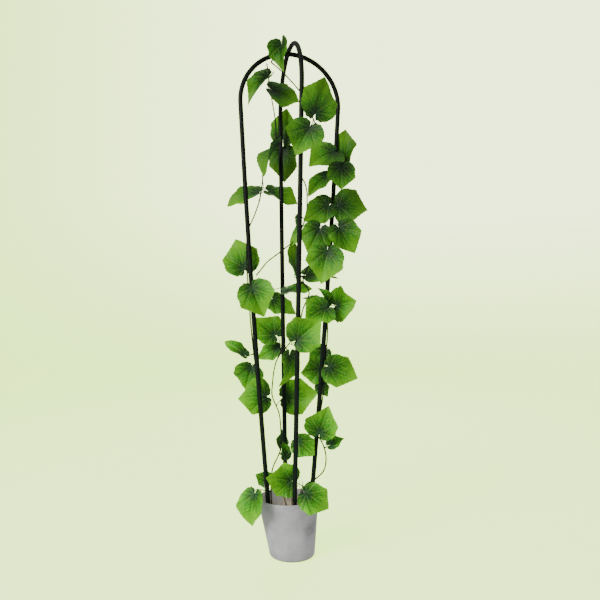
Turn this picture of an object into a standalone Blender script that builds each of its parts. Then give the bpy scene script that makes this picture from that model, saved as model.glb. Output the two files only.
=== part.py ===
"""Garden obelisk: two coated steel hoops crossing at the crown, their legs cast into a cement plug that
stands loose in a small pot, with straw over the cement and an artificial ivy vine wound up the frame.

Metres, +Z up. The origin is on the flat underside of the pot, on the obelisk's own axis. The lower hoop
stands in the XZ plane and the upper hoop crosses over it in the YZ plane.
"""

import math

import bmesh
import bpy
import numpy as np
from mathutils import Matrix, Vector

MM = 0.001
GAP = 0.0003

# Frame hoops: height of the arch's centre line, radius of the arch, leg distance from the axis at the
# bottom, and how far the middle of each leg bows outwards.
LOWER_HOOP = {"top": 1.179, "arch": 0.119, "foot": 0.0445, "bow": 0.0046}
UPPER_HOOP = {"top": 1.1945, "arch": 0.120, "foot": 0.0413, "bow": 0.0045}
LEG_END = 0.045
COAT_RADIUS = 0.0055
COAT_WALL = 0.0005
CORE_RADIUS = COAT_RADIUS - COAT_WALL - GAP
CORE_WALL = 0.0006
CAP_THICKNESS = 0.002
CAP_SPIGOT = 0.008
CAP_SIDES = 16

# Tubes and stems are drawn with eight flat sides, whose middles lie nearer the axis by this factor.
FLAT_SIDE = math.cos(math.pi / 8)

# Pot: a hand-cast taper that leans a little, so its rim sits to one side of its base.
POT_HEIGHT = 0.134
POT_BASE_RADIUS = 0.0518
POT_RIM_RADIUS = 0.071
POT_WALL = 0.004
POT_FLOOR = 0.011
POT_EDGE_ROUND = 0.008
POT_RIM_EASE = 0.0015
POT_SIDES = 40
POT_BASE_CENTRE = (0.0054, -0.0012)
POT_RIM_CENTRE = (-0.0044, 0.0010)

# Cement plug and the straw over it.
PLUG_BOTTOM = POT_FLOOR + GAP
PLUG_TOP = 0.086
LEG_HOLE_TOP = 0.12
STRAW_SIDES = 32
STRAW_THICKNESS = 0.005
STRAW_INSET_TOP = 0.008
STRAW_INSET_BOTTOM = 0.002
STRAND_COUNT = 9
STRAND_HEIGHT = 0.052
STRAND_FOOT = 0.003
STRAND_THICK_END = 0.0011
STRAND_THIN_END = 0.0005
STRAND_TURN = 2.4
STRAND_NEAREST = 0.018
STRAND_SPREAD = 0.0035
STRAND_TILTS = (6, 11, 16)

# Vine.
STEM_RADIUS = 0.0013
STEM_SPACING = 0.014
CLIMB_STEP = 0.02
LEAF_THICKNESS = 0.0008
LOBE_SWEEP = 0.2
TIP_DROOP = 0.06
NARROWEST = 0.03

# Petiole: it dips behind the blade, comes up steeply under it and ends just proud of the upper face.
PETIOLE_RADIUS = 0.0008
PETIOLE_SAG = 0.2
PETIOLE_DIP = 0.003
PETIOLE_UNDER = (0.005, -0.0012)
PETIOLE_THROUGH = (0.0075, 0.0016)
WELD_DISTANCE = 0.00003

# Free stretches of the four stems, in millimetres. Where a stem climbs a leg it is wound round it.
RIGHT_STEM_LOOP = [(20, -15, 92), (22, -16, 130), (32, -20, 163), (55, -30, 180), (75, -30, 200),
                   (80, -25, 232), (72, -16, 262)]
RIGHT_STEM_CROWN = [(106, -11, 918), (98, -4, 945), (84, 4, 966), (70, -18, 985), (50, -68, 985),
                    (35, -92, 992), (23, -92, 1025), (10, -65, 1065), (-15, -32, 1112),
                    (-32, -18, 1135), (-48, -10, 1151)]
LEFT_STEM_CROWN = [(-55, 9, 1155), (-47, 40, 1150), (-36, 78, 1130), (-24, 98, 1090), (-15, 110, 1053),
                   (-12, 117, 1013), (-20, 108, 985), (-46, 98, 930), (-51, 94, 889), (-61, 72, 842),
                   (-80, 34, 796), (-94, 12, 768)]
CROSS_STEM = [(-80, 6, 650), (-65, 10, 668), (-50, 15, 685), (-15, 22, 712), (15, 10, 740),
              (36, -2, 785), (42, 2, 835), (38, 2, 868), (22, -6, 892)]
MIDDLE_STEM = [(-42, -8, 92), (-46, -10, 130), (-46, -6, 165), (-40, 6, 200), (-18, 22, 240),
               (-14, 40, 280), (-16, 52, 320), (-32, 54, 360), (-32, 54, 390), (-26, 58, 430),
               (-14, 62, 458), (4, 20, 492), (15, -22, 525), (25, -24, 570), (44, -10, 610),
               (32, 2, 640), (45, -2, 675), (60, -30, 690)]

# Where a stem goes up a leg: heights in metres, and the side of the leg it lies on there, in degrees.
RIGHT_LEG_CLIMB = [(0.280, 235), (0.340, 300), (0.410, 365), (0.475, 375), (0.550, 285), (0.610, 265),
                   (0.665, 170), (0.720, 230), (0.895, 240)]
LEFT_LEG_CLIMB = [(0.355, 90), (0.450, 120), (0.600, 185), (0.640, 185), (0.745, 100)]

# Leaves, in millimetres and degrees: where the petiole meets the blade, where the tip is, blade width,
# bearing and elevation that the upper face looks to (bearing 0 is -Y, 90 is +X), and the fold at the
# midrib.
LEAVES = [
    ("leaf_01", (-26, -28, 1188), (-20, -34, 1119), 54, -40, 0, 40),
    ("leaf_02", (-49, 23, 1129), (-106, 32, 1072), 54, -15, 45, 35),
    ("leaf_03", (-36, 46, 1108), (34, 56, 1085), 82, -15, 34, 10),
    ("leaf_04", (32, -115, 1003), (50, -125, 1080), 92, 15, 5, 8),
    ("leaf_05", (10, 136, 1014), (20, 134, 1095), 72, -15, 0, 10),
    ("leaf_06", (13, -140, 961), (-17, -135, 902), 86, -15, 5, 15),
    ("leaf_07", (98, -30, 942), (36, -45, 911), 90, -30, 15, 10),
    ("leaf_08", (130, -5, 925), (140, -5, 1005), 74, -60, 0, 12),
    ("leaf_09", (-19, 62, 978), (-72, 55, 910), 60, -85, 30, 20),
    ("leaf_10", (12, 152, 988), (15, 132, 895), 76, -15, 5, 10),
    ("leaf_11", (84, -22, 886), (34, -30, 842), 48, -15, 45, 20),
    ("leaf_12", (105, -72, 898), (104, -74, 843), 68, -15, 20, 15),
    ("leaf_13", (-71, 45, 853), (-146, 60, 830), 74, -15, 55, 10),
    ("leaf_14", (-20, 155, 880), (52, 140, 855), 72, -15, 50, 10),
    ("leaf_15", (90, -16, 818), (27, -20, 773), 70, -15, 15, 12),
    ("leaf_16", (112, -30, 815), (178, -45, 806), 92, 0, 8, 10),
    ("leaf_17", (62, -40, 758), (32, -44, 698), 78, -15, 0, 8),
    ("leaf_18", (100, -70, 757), (137, -76, 700), 76, -5, 0, 25),
    ("leaf_19", (64, -98, 700), (49, -102, 628), 88, -15, 5, 8),
    ("leaf_20", (14, 5, 652), (-3, 8, 732), 58, 65, 0, 10),
    ("leaf_21", (-105, 25, 668), (-126, 30, 738), 90, -15, 0, 8),
    ("leaf_22", (52, 40, 655), (127, 25, 650), 66, -15, 48, 10),
    ("leaf_23", (-95, -30, 620), (-70, -45, 555), 88, -15, 15, 12),
    ("leaf_24", (-5, 22, 614), (55, 4, 626), 60, -15, 65, 10),
    ("leaf_25", (-16, 130, 598), (35, 115, 554), 66, 10, 25, 10),
    ("leaf_26", (105, -30, 580), (135, -80, 590), 88, -60, 0, 10),
    ("leaf_27", (72, -55, 574), (22, -60, 546), 80, -15, 25, 12),
    ("leaf_28", (-16, 104, 508), (-66, 105, 551), 82, -15, 0, 10),
    ("leaf_29", (-6, 120, 474), (-57, 122, 448), 50, -15, 40, 10),
    ("leaf_30", (-6, -100, 503), (44, -118, 545), 86, -5, 5, 15),
    ("leaf_31", (100, 55, 470), (60, 60, 435), 54, -15, 10, 10),
    ("leaf_32", (-108, 5, 466), (-150, 15, 500), 38, -15, 62, 15),
    ("leaf_33", (-85, 42, 433), (-96, 60, 378), 76, -15, 10, 20),
    ("leaf_34", (4, 25, 460), (-1, 25, 383), 70, 40, 0, 12),
    ("leaf_35", (80, 25, 425), (30, 15, 420), 68, -15, 10, 15),
    ("leaf_36", (90, -20, 435), (152, -45, 410), 80, -15, 15, 10),
    ("leaf_37", (-55, 22, 365), (-119, 26, 361), 88, -15, 10, 8),
    ("leaf_38", (9, 85, 353), (87, 70, 364), 92, -15, 10, 12),
    ("leaf_39", (64, -30, 285), (80, -45, 345), 80, -15, 15, 15),
    ("leaf_40", (90, -24, 254), (122, -32, 272), 36, -5, 45, 15),
    ("leaf_41", (-5, 80, 235), (-10, 80, 280), 40, 35, 0, 15),
    ("leaf_42", (20, 0, 263), (57, -10, 228), 60, -15, 0, 12),
    ("leaf_43", (-1, -24, 176), (-68, -34, 192), 78, -15, 10, 20),
    ("leaf_44", (-91, -45, 157), (-109, -50, 90), 72, -50, 5, 12),
    ("leaf_45", (17, -90, 165), (70, -100, 129), 70, 5, 5, 10),
]


def srgb(hex_colour):
    """Linear RGBA of a screen colour written as six hex digits."""
    values = []
    for start in (0, 2, 4):
        value = int(hex_colour[start:start + 2], 16) / 255
        values.append(value / 12.92 if value <= 0.04045 else ((value + 0.055) / 1.055) ** 2.4)
    return (*values, 1.0)


def give_material(piece, hex_colour, roughness, metallic=0.0):
    """Every piece carries its own Principled material."""
    material = bpy.data.materials.new(piece.name)
    material.use_nodes = True
    shader = material.node_tree.nodes["Principled BSDF"]
    shader.inputs["Base Color"].default_value = srgb(hex_colour)
    shader.inputs["Roughness"].default_value = roughness
    shader.inputs["Metallic"].default_value = metallic
    piece.data.materials.clear()
    piece.data.materials.append(material)


def clear_scene():
    for thing in list(bpy.data.objects):
        bpy.data.objects.remove(thing)


def make_collection(name):
    collection = bpy.data.collections.new(name)
    bpy.context.scene.collection.children.link(collection)
    return collection


def add_object(name, data, collection):
    piece = bpy.data.objects.new(name, data)
    collection.objects.link(piece)
    return piece


def hide_helper(helper):
    helper.hide_render = True
    helper.display_type = "WIRE"


def smooth_route(points, spacing):
    """Points along a Catmull-Rom curve through the given points, at about the spacing asked for."""
    knots = np.asarray(points, dtype=float)
    ends = np.vstack([2 * knots[0] - knots[1], knots, 2 * knots[-1] - knots[-2]])
    pieces = []
    for start in range(len(knots) - 1):
        before, here, there, after = ends[start:start + 4]
        steps = max(2, round(np.linalg.norm(there - here) / spacing))
        t = np.linspace(0, 1, steps, endpoint=False)[:, None]
        pieces.append(0.5 * (2 * here + (there - before) * t
                             + (2 * before - 5 * here + 4 * there - after) * t ** 2
                             + (3 * here - before - 3 * there + after) * t ** 3))
    return np.vstack([*pieces, knots[-1:]])


def curve_mesh(name, points, radius, sides_extra, filled):
    """Mesh of a round tube along a polyline, from a bevelled curve."""
    curve = bpy.data.curves.new(name + "_curve", "CURVE")
    curve.dimensions = "3D"
    curve.bevel_depth = radius
    curve.bevel_resolution = sides_extra
    curve.use_fill_caps = filled
    spline = curve.splines.new("POLY")
    spline.points.add(len(points) - 1)
    for place, point in zip(spline.points, points):
        place.co = (*point, 1.0)
    carrier = bpy.data.objects.new(name + "_carrier", curve)
    bpy.context.scene.collection.objects.link(carrier)
    bpy.context.view_layer.update()
    mesh = bpy.data.meshes.new_from_object(carrier.evaluated_get(bpy.context.evaluated_depsgraph_get()))
    bpy.data.objects.remove(carrier)
    mesh.name = name
    shape = bmesh.new()
    shape.from_mesh(mesh)
    bmesh.ops.remove_doubles(shape, verts=shape.verts, dist=1e-6)
    bmesh.ops.recalc_face_normals(shape, faces=shape.faces)
    shape.to_mesh(mesh)
    shape.free()
    return mesh


def shade_round(piece):
    piece.data.shade_smooth()
    piece.data.set_sharp_from_angle(angle=math.radians(40))


def leg_spread(hoop, height):
    """Distance from the axis to a leg's centre line at a height."""
    shoulder = hoop["top"] - hoop["arch"]
    down = (shoulder - height) / (shoulder - LEG_END)
    return hoop["arch"] - (hoop["arch"] - hoop["foot"]) * down + 4 * hoop["bow"] * down * (1 - down)


def hoop_line(hoop, turn):
    """Centre line of a hoop from one leg end over the arch to the other, in the XZ plane or turned."""
    shoulder = hoop["top"] - hoop["arch"]
    heights = np.linspace(LEG_END, shoulder, 7)[:-1]
    spread = leg_spread(hoop, heights)
    angle = np.linspace(0, math.pi, 17)
    across = np.concatenate([spread, hoop["arch"] * np.cos(angle), -spread[::-1]])
    up = np.concatenate([heights, shoulder + hoop["arch"] * np.sin(angle), heights[::-1]])
    return np.stack([across * math.cos(turn), across * math.sin(turn), up], axis=1)


def add_tube(name, points, radius, wall, collection, hex_colour, roughness, metallic=0.0):
    """Open-ended tube: the outer skin of a bevelled curve, thickened inwards."""
    tube = add_object(name, curve_mesh(name, points, radius, 2, False), collection)
    thickness = tube.modifiers.new("Wall", "SOLIDIFY")
    thickness.thickness = wall
    thickness.offset = -1
    give_material(tube, hex_colour, roughness, metallic)
    shade_round(tube)
    return tube


def turned_mesh(name, profile, steps):
    """Mesh of a profile of (radius, height) points turned about Z, running down its outer side."""
    mesh = bpy.data.meshes.new(name + "_profile")
    corners = [(radius, 0.0, height) for radius, height in profile]
    mesh.from_pydata(corners, [(i, i + 1) for i in range(len(corners) - 1)], [])
    carrier = bpy.data.objects.new(name + "_carrier", mesh)
    bpy.context.scene.collection.objects.link(carrier)
    screw = carrier.modifiers.new("Turn", "SCREW")
    screw.steps = steps
    screw.render_steps = steps
    screw.use_merge_vertices = True
    screw.merge_threshold = 0.00005
    bpy.context.view_layer.update()
    turned = bpy.data.meshes.new_from_object(carrier.evaluated_get(bpy.context.evaluated_depsgraph_get()))
    bpy.data.objects.remove(carrier)
    turned.name = name
    return turned


def add_foot_cap(name, hoop, turn, side, collection):
    """Moulded plug that closes a leg's end: a disc under the tube and a spigot up inside it."""
    spigot = (CORE_RADIUS - CORE_WALL) * FLAT_SIDE - GAP
    profile = [(0.0, CAP_SPIGOT), (spigot, CAP_SPIGOT), (spigot, 0.0), (COAT_RADIUS, 0.0),
               (COAT_RADIUS, -CAP_THICKNESS), (0.0, -CAP_THICKNESS)]
    cap = add_object(name, turned_mesh(name, profile, CAP_SIDES), collection)
    line = hoop_line(hoop, turn)
    end, above = (line[0], line[1]) if side > 0 else (line[-1], line[-2])
    along = Vector(above - end).normalized()
    cap.location = Vector(end) - along * GAP
    cap.rotation_mode = "QUATERNION"
    cap.rotation_quaternion = along.to_track_quat("Z", "Y")
    give_material(cap, "15180f", 0.6)
    shade_round(cap)


def lean(mesh):
    """Slides each level of an upright mesh sideways, as the pot's own axis leans."""
    run_x = (POT_RIM_CENTRE[0] - POT_BASE_CENTRE[0]) / POT_HEIGHT
    run_y = (POT_RIM_CENTRE[1] - POT_BASE_CENTRE[1]) / POT_HEIGHT
    slide = Matrix(((1, 0, run_x, POT_BASE_CENTRE[0]), (0, 1, run_y, POT_BASE_CENTRE[1]),
                    (0, 0, 1, 0), (0, 0, 0, 1)))
    mesh.transform(slide)


def pot_radius(height):
    return POT_BASE_RADIUS + (POT_RIM_RADIUS - POT_BASE_RADIUS) * height / POT_HEIGHT


def add_pot(collection):
    """Cast pot: a tapered cup with a rounded foot and a plain, slightly eased rim."""
    rim_inside = POT_RIM_RADIUS - POT_WALL
    profile = [(0.0, POT_FLOOR), (pot_radius(POT_FLOOR) - POT_WALL, POT_FLOOR),
               (rim_inside, POT_HEIGHT - POT_RIM_EASE), (rim_inside + POT_RIM_EASE, POT_HEIGHT),
               (POT_RIM_RADIUS - POT_RIM_EASE, POT_HEIGHT), (POT_RIM_RADIUS, POT_HEIGHT - POT_RIM_EASE)]
    for step in range(5):
        angle = math.radians(90 * step / 4)
        height = POT_EDGE_ROUND * (1 - math.sin(angle))
        profile.append((pot_radius(height) - POT_EDGE_ROUND * (1 - math.cos(angle)), height))
    profile.append((0.0, 0.0))
    pot = add_object("pot", turned_mesh("pot", profile, POT_SIDES), collection)
    lean(pot.data)
    give_material(pot, "b4b4b0", 0.8)
    shade_round(pot)


def leg_cutters(collection):
    """Round bars a little fatter than the legs, that cut their holes in the cement and the straw."""
    cutters = []
    for hoop, turn in ((LOWER_HOOP, 0.0), (UPPER_HOOP, math.pi / 2)):
        for side in (1, -1):
            points = []
            for height in (LEG_END - CAP_THICKNESS - 3 * GAP, LEG_HOLE_TOP):
                spread = side * leg_spread(hoop, height)
                points.append((spread * math.cos(turn), spread * math.sin(turn), height))
            name = f"leg_cutter_{len(cutters) + 1}"
            mesh = curve_mesh(name, points, COAT_RADIUS + 2 * GAP, 3, True)
            cutter = add_object(name, mesh, collection)
            hide_helper(cutter)
            cutters.append(cutter)
    return cutters


def cut_away(piece, cutters, operation="DIFFERENCE"):
    for cutter in cutters:
        cut = piece.modifiers.new(cutter.name, "BOOLEAN")
        cut.operation = operation
        cut.solver = "EXACT"
        cut.object = cutter


def add_filling(collection, cutters):
    """Cement plug: fills the lower pot, and lifts out with the legs that are cast into it."""
    inside = POT_WALL + 2 * GAP
    profile = [(0.0, PLUG_TOP), (pot_radius(PLUG_TOP) - inside, PLUG_TOP),
               (pot_radius(PLUG_BOTTOM) - inside, PLUG_BOTTOM), (0.0, PLUG_BOTTOM)]
    plug = add_object("filling_plug", turned_mesh("filling_plug", profile, POT_SIDES), collection)
    lean(plug.data)
    cut_away(plug, cutters)
    give_material(plug, "8b857a", 0.95)


def straw_strands(collection):
    """Upright straw: thin tapered stalks standing round the legs, as one helper of separate spikes."""
    strands = bmesh.new()
    for count in range(STRAND_COUNT):
        bearing = count * STRAND_TURN
        reach = STRAND_NEAREST + STRAND_SPREAD * count
        tilt = math.radians(STRAND_TILTS[count % len(STRAND_TILTS)])
        middle = (reach * math.cos(bearing), reach * math.sin(bearing),
                  PLUG_TOP + STRAND_FOOT + STRAND_HEIGHT / 2)
        place = (Matrix.Translation(middle) @ Matrix.Rotation(bearing, 4, "Z")
                 @ Matrix.Rotation(tilt, 4, "Y"))
        bmesh.ops.create_cone(strands, cap_ends=True, segments=5, radius1=STRAND_THICK_END,
                              radius2=STRAND_THIN_END, depth=STRAND_HEIGHT, matrix=place)
    mesh = bpy.data.meshes.new("straw_strands")
    strands.to_mesh(mesh)
    strands.free()
    helper = add_object("straw_strands", mesh, collection)
    hide_helper(helper)
    return helper


def add_straw(collection, cutters, strands):
    """Straw mulch: a thin pad on the cement with stalks standing up out of it."""
    bottom = PLUG_TOP + GAP
    top = bottom + STRAW_THICKNESS
    inside = pot_radius(top) - POT_WALL
    profile = [(0.0, top), (inside - STRAW_INSET_TOP, top), (inside - STRAW_INSET_BOTTOM, bottom),
               (0.0, bottom)]
    straw = add_object("straw_mulch", turned_mesh("straw_mulch", profile, STRAW_SIDES), collection)
    lean(straw.data)
    cut_away(straw, [strands], "UNION")
    cut_away(straw, cutters)
    give_material(straw, "cdb083", 0.9)


def climb(hoop, turn, side, stations):
    """Route of a stem lying on a leg, as points in millimetres about a climb step apart."""
    heights, bearings = zip(*stations)
    steps = round((heights[-1] - heights[0]) / CLIMB_STEP)
    height = np.linspace(heights[0], heights[-1], steps + 1)
    angle = np.radians(np.interp(height, heights, bearings))
    spread = side * leg_spread(hoop, height)
    centre = np.stack([spread * math.cos(turn), spread * math.sin(turn), height], axis=1)
    around = np.stack([np.cos(angle), np.sin(angle), np.zeros(len(height))], axis=1)
    clear = (COAT_RADIUS + STEM_RADIUS + 2.5 * GAP) / FLAT_SIDE
    return [tuple(point) for point in (centre + clear * around) / MM]


def stem_routes():
    """The four stems, as smooth routes in metres."""
    right_leg = climb(LOWER_HOOP, 0, 1, RIGHT_LEG_CLIMB)
    left_leg = climb(LOWER_HOOP, 0, -1, LEFT_LEG_CLIMB)
    routes = {
        "vine_stem_right": RIGHT_STEM_LOOP + right_leg + RIGHT_STEM_CROWN,
        "vine_stem_left": LEFT_STEM_CROWN + left_leg[::-1],
        "vine_stem_cross": CROSS_STEM,
        "vine_stem_middle": MIDDLE_STEM,
    }
    return {name: smooth_route(np.array(points) * MM, STEM_SPACING) for name, points in routes.items()}


def add_stems(collection, routes):
    """Plastic-coated wire stems, closed at both ends."""
    for name, route in routes.items():
        stem = add_object(name, curve_mesh(name, route, STEM_RADIUS, 1, True), collection)
        give_material(stem, "2c3f1c", 0.5)
        shade_round(stem)


def leaf_blade(name, length, width, fold):
    """Open leaf surface on a grid: a spade outline with lobes swept back beside the petiole, folded at
    the midrib and drooping towards the tip. The midrib lies along +Y and the upper face looks to +Z.
    The half width is the largest near a tenth of the way along, and falls in a curve to the tip."""
    grid = bmesh.new()
    bmesh.ops.create_grid(grid, x_segments=4, y_segments=3, size=1.0)
    for corner in grid.verts:
        across = corner.co.x
        along = (corner.co.y + 1) / 2
        half = 0.5 * width * max(NARROWEST, (1 - along) ** 0.75 * (0.7 + 1.6 * along))
        forward = length * (along - LOBE_SWEEP * (1 - along) * abs(across))
        rise = math.tan(math.radians(fold)) * half * abs(across) - TIP_DROOP * length * along ** 2
        corner.co = (across * half, forward, rise)
    mesh = bpy.data.meshes.new(name)
    grid.to_mesh(mesh)
    grid.free()
    return mesh


def add_leaf(leaf, routes, collection, helpers):
    """One leaf: a stiff fabric blade with its moulded petiole, which ends just short of its stem."""
    name, base, tip, width, bearing, elevation, fold = leaf
    base = Vector(base) * MM
    tip = Vector(tip) * MM
    midrib = (tip - base).normalized()
    bearing = math.radians(bearing)
    elevation = math.radians(elevation)
    facing = Vector((math.sin(bearing) * math.cos(elevation), -math.cos(bearing) * math.cos(elevation),
                     math.sin(elevation)))
    facing = (facing - midrib * facing.dot(midrib)).normalized()
    side = midrib.cross(facing)
    blade = add_object(name, leaf_blade(name, (tip - base).length, width * MM, fold), collection)
    blade.matrix_world = Matrix.Translation(base) @ Matrix((side, midrib, facing)).transposed().to_4x4()
    thickness = blade.modifiers.new("Thickness", "SOLIDIFY")
    thickness.thickness = LEAF_THICKNESS
    thickness.offset = 0

    nearest = nearest_on_stems(base, routes)
    start = nearest + (base - nearest).normalized() * (STEM_RADIUS + PETIOLE_RADIUS + 2 * GAP)
    reach = (base - start).length
    behind = base - midrib * reach * PETIOLE_SAG - facing * PETIOLE_DIP
    under = base + midrib * PETIOLE_UNDER[0] + facing * PETIOLE_UNDER[1]
    through = base + midrib * PETIOLE_THROUGH[0] + facing * PETIOLE_THROUGH[1]
    route = smooth_route([start, behind, under, through], max(0.012, reach / 3))
    petiole = add_object(name + "_petiole", curve_mesh(name + "_petiole", route, PETIOLE_RADIUS, 0, True),
                         helpers)
    hide_helper(petiole)
    cut_away(blade, [petiole], "UNION")
    weld = blade.modifiers.new("Weld", "WELD")
    weld.merge_threshold = WELD_DISTANCE
    give_material(blade, "3c8418", 0.55)


def nearest_on_stems(point, routes):
    everything = np.vstack(list(routes.values()))
    away = np.linalg.norm(everything - np.array(point), axis=1)
    return Vector(everything[away.argmin()])


def build():
    clear_scene()
    pieces = make_collection("garden_obelisk")
    helpers = make_collection("cutters")
    for label, hoop, turn in (("lower", LOWER_HOOP, 0.0), ("upper", UPPER_HOOP, math.pi / 2)):
        line = hoop_line(hoop, turn)
        add_tube(f"{label}_hoop_coat", line, COAT_RADIUS, COAT_WALL, pieces, "1f2b1e", 0.35)
        add_tube(f"{label}_hoop_core", line, CORE_RADIUS, CORE_WALL, pieces, "8a8d8f", 0.4, 1.0)
        add_foot_cap(f"{label}_hoop_foot_cap_1", hoop, turn, 1, pieces)
        add_foot_cap(f"{label}_hoop_foot_cap_2", hoop, turn, -1, pieces)
    cutters = leg_cutters(helpers)
    add_pot(pieces)
    add_filling(pieces, cutters)
    add_straw(pieces, cutters, straw_strands(helpers))
    routes = stem_routes()
    add_stems(pieces, routes)
    for leaf in LEAVES:
        add_leaf(leaf, routes, pieces, helpers)
    bpy.context.view_layer.update()


build()
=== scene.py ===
"""Garden obelisk in its finished look: two coated steel hoops whose legs stand in a small cement pot,
straw over the filling, and an artificial ivy vine wound up the frame. Metres, +Z up, the pot's underside
at z = 0.
"""
import math
from functools import partial

import bmesh
import bpy
import numpy as np
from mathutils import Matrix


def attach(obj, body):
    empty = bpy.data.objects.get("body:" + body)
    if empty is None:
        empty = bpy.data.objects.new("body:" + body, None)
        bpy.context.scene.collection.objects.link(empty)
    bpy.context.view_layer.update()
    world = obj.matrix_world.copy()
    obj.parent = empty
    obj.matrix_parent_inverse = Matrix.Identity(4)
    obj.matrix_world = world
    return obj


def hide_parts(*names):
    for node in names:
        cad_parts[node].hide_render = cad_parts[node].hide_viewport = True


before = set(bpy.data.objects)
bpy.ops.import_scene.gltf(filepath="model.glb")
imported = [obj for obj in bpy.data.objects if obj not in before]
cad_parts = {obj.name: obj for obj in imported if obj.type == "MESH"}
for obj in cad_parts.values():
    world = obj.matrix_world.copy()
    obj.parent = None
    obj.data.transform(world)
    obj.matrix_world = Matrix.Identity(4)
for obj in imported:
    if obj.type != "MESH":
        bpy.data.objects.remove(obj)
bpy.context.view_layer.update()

MM = 0.001

# ----------------------------------------
# Pot. A thin cup cast in light cement from a two-part mould, tapered, with a rounded foot. It leans a
# little, so its rim sits to one side of its base, its wall waves by a fraction of a millimetre, and one
# side has a shallow dent, round which the cement's colour is darkened as painted shade.
# ----------------------------------------
POT_HEIGHT = 134 * MM
POT_BASE_RADIUS = 51.8 * MM
POT_RIM_RADIUS = 71 * MM
POT_WALL = 4 * MM
POT_FLOOR = 11 * MM
POT_FOOT_ROUND = 8 * MM
POT_CORNER_ROUND = 5 * MM
POT_BASE_CENTRE = np.array([5.4, -1.2]) * MM
POT_RIM_CENTRE = np.array([-4.4, 1.0]) * MM
POT_STEPS_ROUND = 192
POT_INSIDE_STEPS = (8, 8, 30)
POT_RIM_STEPS = 14
POT_OUTSIDE_STEPS = 60
POT_FOOT_STEPS = (14, 8)
DENT_BEARING = math.radians(-50)
DENT_HEIGHT = 76 * MM
DENT_DEPTH = 1.6 * MM
DENT_HALF_WIDTH = 12 * MM
DENT_HALF_HEIGHT = 15 * MM
SHARP_DEGREES = 50
MERGE_DISTANCE = 1e-7


def add_object(name, data):
    """An object at the origin that shows a mesh, a lamp or a camera."""
    made = bpy.data.objects.new(name, data)
    bpy.context.scene.collection.objects.link(made)
    return made


def place_numbers(shape):
    """The number of each place of a grid, counted row by row."""
    return np.arange(math.prod(shape)).reshape(shape)


def net(index):
    """Four-sided faces between neighbours in the last two directions of a grid of place numbers."""
    return np.stack([index[..., :-1, :-1], index[..., :-1, 1:], index[..., 1:, 1:], index[..., 1:, :-1]],
                    axis=-1).reshape(-1, 4)


def add_surface(name, points, body, materials, close_rows=False, close_columns=False, uv=None):
    """Puts a (rows, columns, 3) array of places into a mesh as a net of four-sided faces. A closed
    direction joins its last row or column to its first, rows of one repeated place become poles, and the
    faces are turned outwards once their shared corners are merged. uv holds one pair for each place."""
    index = place_numbers(points.shape[:2])
    if close_rows:
        index = np.vstack([index, index[:1]])
    if close_columns:
        index = np.hstack([index, index[:, :1]])
    return add_faces(name, points.reshape(-1, 3), net(index), body, materials, uv)


def add_faces(name, places, faces, body, materials, uv=None, material_index=None):
    """Makes one piece from an array of places and an array of four-sided faces, and sets it on its body."""
    mesh = bpy.data.meshes.new(name)
    mesh.from_pydata(places.tolist(), [], faces.tolist())
    if uv is not None:
        layer = mesh.uv_layers.new(name="UVMap")
        layer.data.foreach_set("uv", uv.reshape(-1, 2)[faces.reshape(-1)].astype(np.float32).reshape(-1))
    if material_index is not None:
        mesh.polygons.foreach_set("material_index", material_index)
    shape = bmesh.new()
    shape.from_mesh(mesh)
    bmesh.ops.remove_doubles(shape, verts=shape.verts, dist=MERGE_DISTANCE)
    bmesh.ops.recalc_face_normals(shape, faces=shape.faces)
    shape.to_mesh(mesh)
    shape.free()
    mesh.shade_smooth()
    mesh.set_sharp_from_angle(angle=math.radians(SHARP_DEGREES))
    for material in materials:
        mesh.materials.append(material)
    piece = add_object(name, mesh)
    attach(piece, body)
    return piece


def linear(hex_colour):
    """Linear RGBA of a screen colour written as six hex digits."""
    screen = np.array([int(hex_colour[start:start + 2], 16) for start in (0, 2, 4)]) / 255
    light = np.where(screen <= 0.04045, screen / 12.92, ((screen + 0.055) / 1.055) ** 2.4)
    return (*light.tolist(), 1.0)


def fill(made, inputs):
    """Sets a shader node's sockets, by name or number, each to a value, to another node's output, or to a
    node, which stands for its first output."""
    for key, value in inputs.items():
        if isinstance(value, bpy.types.Node):
            value = value.outputs[0]
        if isinstance(value, bpy.types.NodeSocket):
            made.id_data.links.new(value, made.inputs[key])
        else:
            made.inputs[key].default_value = value


def add_node(tree, kind, inputs, stops=(), **settings):
    """Adds one shader node. settings are its own properties, inputs are its sockets, and stops are the
    places and colours of a colour ramp."""
    made = tree.nodes.new("ShaderNode" + kind)
    for key, value in settings.items():
        setattr(made, key, value)
    fill(made, inputs)
    for number, (place, colour) in enumerate(stops):
        ramp = made.color_ramp.elements
        element = ramp[number] if number < 2 else ramp.new(1.0)
        element.position = place
        element.color = linear(colour) if isinstance(colour, str) else (colour, colour, colour, 1.0)
    return made


def start_material(name, **values):
    """A new Principled material, with plain values set on the shader's own sockets. It comes with its own
    copy of add_node, its shader and the coordinates that patterns are laid out on."""
    material = bpy.data.materials.new(name)
    material.use_nodes = True
    node = partial(add_node, material.node_tree)
    shader = material.node_tree.nodes["Principled BSDF"]
    fill(shader, {key.replace("_", " "): value for key, value in values.items()})
    return material, node, shader, node("TexCoord", {}).outputs


def arc(centre, radius, start, end, steps):
    """Points of (distance, height) on a round corner, from one angle to another in degrees."""
    angle = np.radians(np.linspace(start, end, steps))
    return np.stack([centre[0] + radius * np.cos(angle), centre[1] + radius * np.sin(angle)], axis=1)


def pot_radius(height):
    """Distance of the outer wall from the axis: a straight taper."""
    return POT_BASE_RADIUS + (POT_RIM_RADIUS - POT_BASE_RADIUS) * height / POT_HEIGHT


def pot_axis(height):
    """Where the leaning pot's own axis is at a height."""
    lean = (POT_RIM_CENTRE - POT_BASE_CENTRE) / POT_HEIGHT
    return POT_BASE_CENTRE + np.multiply.outer(height, lean)


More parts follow.
